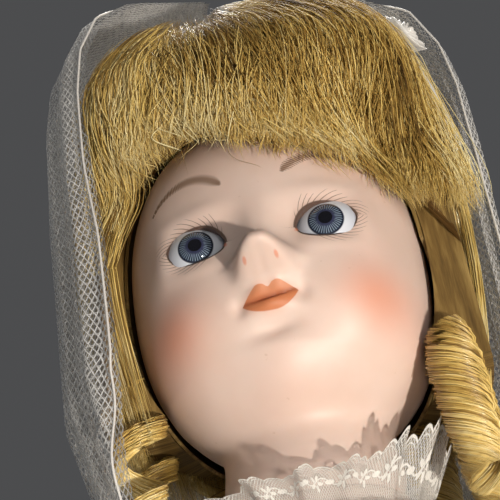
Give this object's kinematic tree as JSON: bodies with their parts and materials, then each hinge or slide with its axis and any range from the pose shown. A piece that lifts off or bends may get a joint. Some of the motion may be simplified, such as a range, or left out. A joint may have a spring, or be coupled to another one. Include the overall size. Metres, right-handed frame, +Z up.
{
  "type": "porcelain doll",
  "caption": "Standing porcelain bride doll: bisque head, hands and legs on a stuffed cloth body, blonde wig, tulle veil and lace-trimmed gown; head, arms and legs turn.",
  "frame": {"origin": "on the floor under the middle of the doll, between the shoe soles", "axes": "+Z up, -Y the way the doll faces, +X the doll's left hand"},
  "size_m": [0.2322, 0.217, 0.4367],
  "materials": {
    "bisque": "satin bisque",
    "glass_eye": "polished",
    "plaster": "matt",
    "pate_card": "matt",
    "wig_net": "matt",
    "hair": "glossy strands",
    "cotton": "matt",
    "satin": "satin",
    "lace": "matt",
    "tulle": "sheer net",
    "wood": "matt",
    "steel": "brushed",
    "shoe_leather": "semi-gloss"
  },
  "bodies": {
    "torso": {"shoulder_plate": "bisque", "torso_body": "cotton", "neck_washer": "steel", "neck_spring": "steel", "neck_nut": "steel", "bodice": "satin", "lace_collar": "lace", "neck_ruffle": "lace", "waist_sash": "satin", "sash_bow": "satin", "skirt": "satin", "petticoat": "tulle", "hem_lace": "lace"},
    "head": {"head_shell": "bisque", "neck_button": "wood", "neck_bolt": "steel", "eye_left": "glass_eye", "eye_right": "glass_eye", "eye_putty_left": "plaster", "eye_putty_right": "plaster", "crown_pate": "pate_card", "wig_cap": "wig_net", "wig_hair": "hair", "wig_bangs": "hair", "ringlet_1": "hair", "ringlet_2": "hair", "ringlet_3": "hair", "ringlet_4": "hair", "ringlet_5": "hair", "ringlet_6": "hair", "ringlet_7": "hair", "headband": "satin", "rosette_left": "satin", "rosette_middle": "satin", "rosette_right": "satin", "veil": "tulle"},
    "upper_arm_left": {"upper_arm_left": "cotton", "arm_wire_left": "steel", "sleeve_puff_left": "satin", "sleeve_band_left": "satin", "sleeve_ruffle_left": "lace"},
    "forearm_left": {"forearm_left": "bisque"},
    "upper_arm_right": {"upper_arm_right": "cotton", "arm_wire_right": "steel", "sleeve_puff_right": "satin", "sleeve_band_right": "satin", "sleeve_ruffle_right": "lace"},
    "forearm_right": {"forearm_right": "bisque"},
    "leg_left": {"upper_leg_left": "cotton", "lower_leg_left": "bisque", "drawers_leg_left": "cotton", "stocking_left": "cotton", "shoe_left": "shoe_leather", "shoe_sole_left": "shoe_leather"},
    "leg_right": {"upper_leg_right": "cotton", "lower_leg_right": "bisque", "drawers_leg_right": "cotton", "stocking_right": "cotton", "shoe_right": "shoe_leather", "shoe_sole_right": "shoe_leather"}
  },
  "joints": [
    {"name": "neck_turn", "type": "hinge", "parent": "torso", "child": "head", "pos_m": [0, 0.003, 0.318], "axis": [0, 0, 1], "range_deg": [-65, 65], "deforming": ["veil"]},
    {"name": "shoulder_left", "type": "hinge", "parent": "torso", "child": "upper_arm_left", "pos_m": [0.0505, 0.002, 0.284], "axis": [-1, 0, 0], "range_deg": [-20, 90]},
    {"name": "elbow_left", "type": "hinge", "parent": "upper_arm_left", "child": "forearm_left", "pos_m": [0.06804, 0.002, 0.22662], "axis": [-0.9563, 0, -0.2924], "range_deg": [-14, 45]},
    {"name": "shoulder_right", "type": "hinge", "parent": "torso", "child": "upper_arm_right", "pos_m": [-0.0505, 0.002, 0.284], "axis": [-1, 0, 0], "range_deg": [-20, 90]},
    {"name": "elbow_right", "type": "hinge", "parent": "upper_arm_right", "child": "forearm_right", "pos_m": [-0.06804, 0.002, 0.22662], "axis": [-0.9563, 0, 0.2924], "range_deg": [-14, 45]},
    {"name": "hip_left", "type": "hinge", "parent": "torso", "child": "leg_left", "pos_m": [0.0195, 0.001, 0.178], "axis": [-1, 0, 0], "range_deg": [-12, 22]},
    {"name": "hip_right", "type": "hinge", "parent": "torso", "child": "leg_right", "pos_m": [-0.0195, 0.001, 0.178], "axis": [-1, 0, 0], "range_deg": [-12, 22]}
  ]
}
